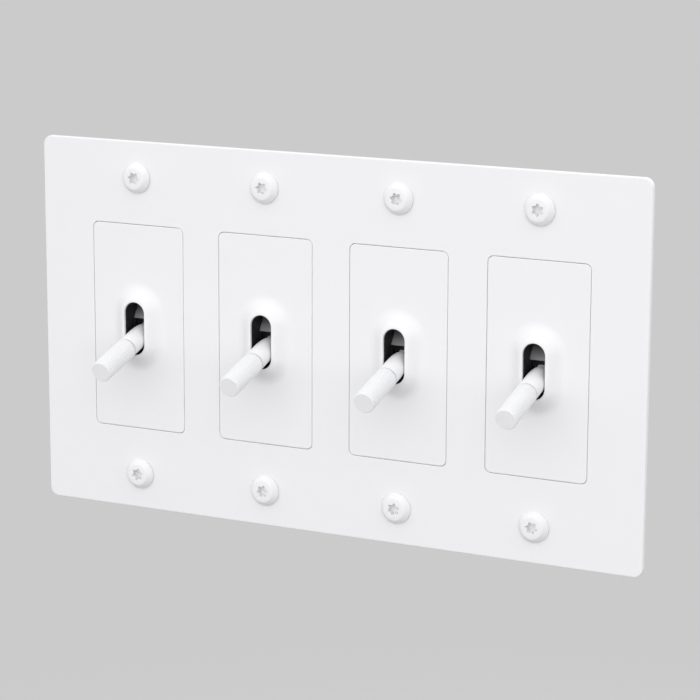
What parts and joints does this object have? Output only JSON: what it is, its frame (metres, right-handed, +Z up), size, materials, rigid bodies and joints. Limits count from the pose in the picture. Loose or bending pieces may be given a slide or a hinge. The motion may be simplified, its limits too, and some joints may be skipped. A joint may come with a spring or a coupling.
{
  "type": "four-gang toggle switch",
  "caption": "White wall plate with a row of toggle light switches: fluted levers in raised slots, steel straps and black switch housings behind.",
  "frame": {"origin": "centre of the plate's back face, on the wall, midway between the box screws", "axes": "+X along the row of gangs, +Y into the wall, +Z up; the levers point to -Y"},
  "size_m": [0.208, 0.0575, 0.12],
  "materials": {
    "plate_paint": "satin white paint",
    "insert_paint": "satin white paint",
    "screw_paint": "satin white paint",
    "lever_paint": "satin white paint",
    "grip_paint": "satin white paint over fine flutes",
    "housing_plastic": "fine moulded texture",
    "dolly_plastic": "smooth dark grey moulding",
    "plunger_plastic": "smooth natural plastic",
    "strap_steel": "bright zinc plate",
    "pin_steel": "ground steel",
    "spring_steel": "bright folded strip",
    "terminal_brass": "rolled brass",
    "rocker_brass": "rolled brass",
    "terminal_screw_brass": "turned brass",
    "contact_metal": "bright contact metal"
  },
  "bodies": {
    "wall_unit": {"faceplate": "plate_paint", "plate_screws": "screw_paint", "terminal_screws": "terminal_screw_brass", "pivot_pins": "pin_steel", "fixed_contacts": "contact_metal", "face_insert_1": "insert_paint", "mounting_strap_1": "strap_steel", "housing_cover_1": "housing_plastic", "housing_base_1": "housing_plastic", "common_terminal_1": "terminal_brass", "switched_terminal_1": "terminal_brass", "face_insert_2": "insert_paint", "mounting_strap_2": "strap_steel", "housing_cover_2": "housing_plastic", "housing_base_2": "housing_plastic", "common_terminal_2": "terminal_brass", "switched_terminal_2": "terminal_brass", "face_insert_3": "insert_paint", "mounting_strap_3": "strap_steel", "housing_cover_3": "housing_plastic", "housing_base_3": "housing_plastic", "common_terminal_3": "terminal_brass", "switched_terminal_3": "terminal_brass", "face_insert_4": "insert_paint", "mounting_strap_4": "strap_steel", "housing_cover_4": "housing_plastic", "housing_base_4": "housing_plastic", "common_terminal_4": "terminal_brass", "switched_terminal_4": "terminal_brass"},
    "toggle_1": {"dolly_1": "dolly_plastic", "lever_1": "lever_paint", "lever_grip_1": "grip_paint", "plunger_1": "plunger_plastic", "plunger_spring_1": "spring_steel"},
    "rocker_1": {"contact_rocker_1": "rocker_brass", "moving_contact_1": "contact_metal"},
    "toggle_2": {"dolly_2": "dolly_plastic", "lever_2": "lever_paint", "lever_grip_2": "grip_paint", "plunger_2": "plunger_plastic", "plunger_spring_2": "spring_steel"},
    "rocker_2": {"contact_rocker_2": "rocker_brass", "moving_contact_2": "contact_metal"},
    "toggle_3": {"dolly_3": "dolly_plastic", "lever_3": "lever_paint", "lever_grip_3": "grip_paint", "plunger_3": "plunger_plastic", "plunger_spring_3": "spring_steel"},
    "rocker_3": {"contact_rocker_3": "rocker_brass", "moving_contact_3": "contact_metal"},
    "toggle_4": {"dolly_4": "dolly_plastic", "lever_4": "lever_paint", "lever_grip_4": "grip_paint", "plunger_4": "plunger_plastic", "plunger_spring_4": "spring_steel"},
    "rocker_4": {"contact_rocker_4": "rocker_brass", "moving_contact_4": "contact_metal"}
  },
  "joints": [
    {"name": "toggle_1_tip", "type": "hinge", "parent": "wall_unit", "child": "toggle_1", "pos_m": [-0.06906, 0.0085, 0], "axis": [-1, 0, 0], "range_deg": [0, 34]},
    {"name": "toggle_2_tip", "type": "hinge", "parent": "wall_unit", "child": "toggle_2", "pos_m": [-0.02302, 0.0085, 0], "axis": [-1, 0, 0], "range_deg": [0, 34]},
    {"name": "toggle_3_tip", "type": "hinge", "parent": "wall_unit", "child": "toggle_3", "pos_m": [0.02302, 0.0085, 0], "axis": [-1, 0, 0], "range_deg": [0, 34]},
    {"name": "toggle_4_tip", "type": "hinge", "parent": "wall_unit", "child": "toggle_4", "pos_m": [0.06906, 0.0085, 0], "axis": [-1, 0, 0], "range_deg": [0, 34]},
    {"name": "rocker_1_tip", "type": "hinge", "parent": "wall_unit", "child": "rocker_1", "pos_m": [-0.06906, 0.02286, 0], "axis": [1, 0, 0], "range_deg": [0, 12]},
    {"name": "rocker_2_tip", "type": "hinge", "parent": "wall_unit", "child": "rocker_2", "pos_m": [-0.02302, 0.02286, 0], "axis": [1, 0, 0], "range_deg": [0, 12]},
    {"name": "rocker_3_tip", "type": "hinge", "parent": "wall_unit", "child": "rocker_3", "pos_m": [0.02302, 0.02286, 0], "axis": [1, 0, 0], "range_deg": [0, 12]},
    {"name": "rocker_4_tip", "type": "hinge", "parent": "wall_unit", "child": "rocker_4", "pos_m": [0.06906, 0.02286, 0], "axis": [1, 0, 0], "range_deg": [0, 12]}
  ],
  "couplings": [
    {"joint": "rocker_1_tip", "follows": "toggle_1_tip", "ratio": 0.3529},
    {"joint": "rocker_2_tip", "follows": "toggle_2_tip", "ratio": 0.3529},
    {"joint": "rocker_3_tip", "follows": "toggle_3_tip", "ratio": 0.3529},
    {"joint": "rocker_4_tip", "follows": "toggle_4_tip", "ratio": 0.3529}
  ]
}
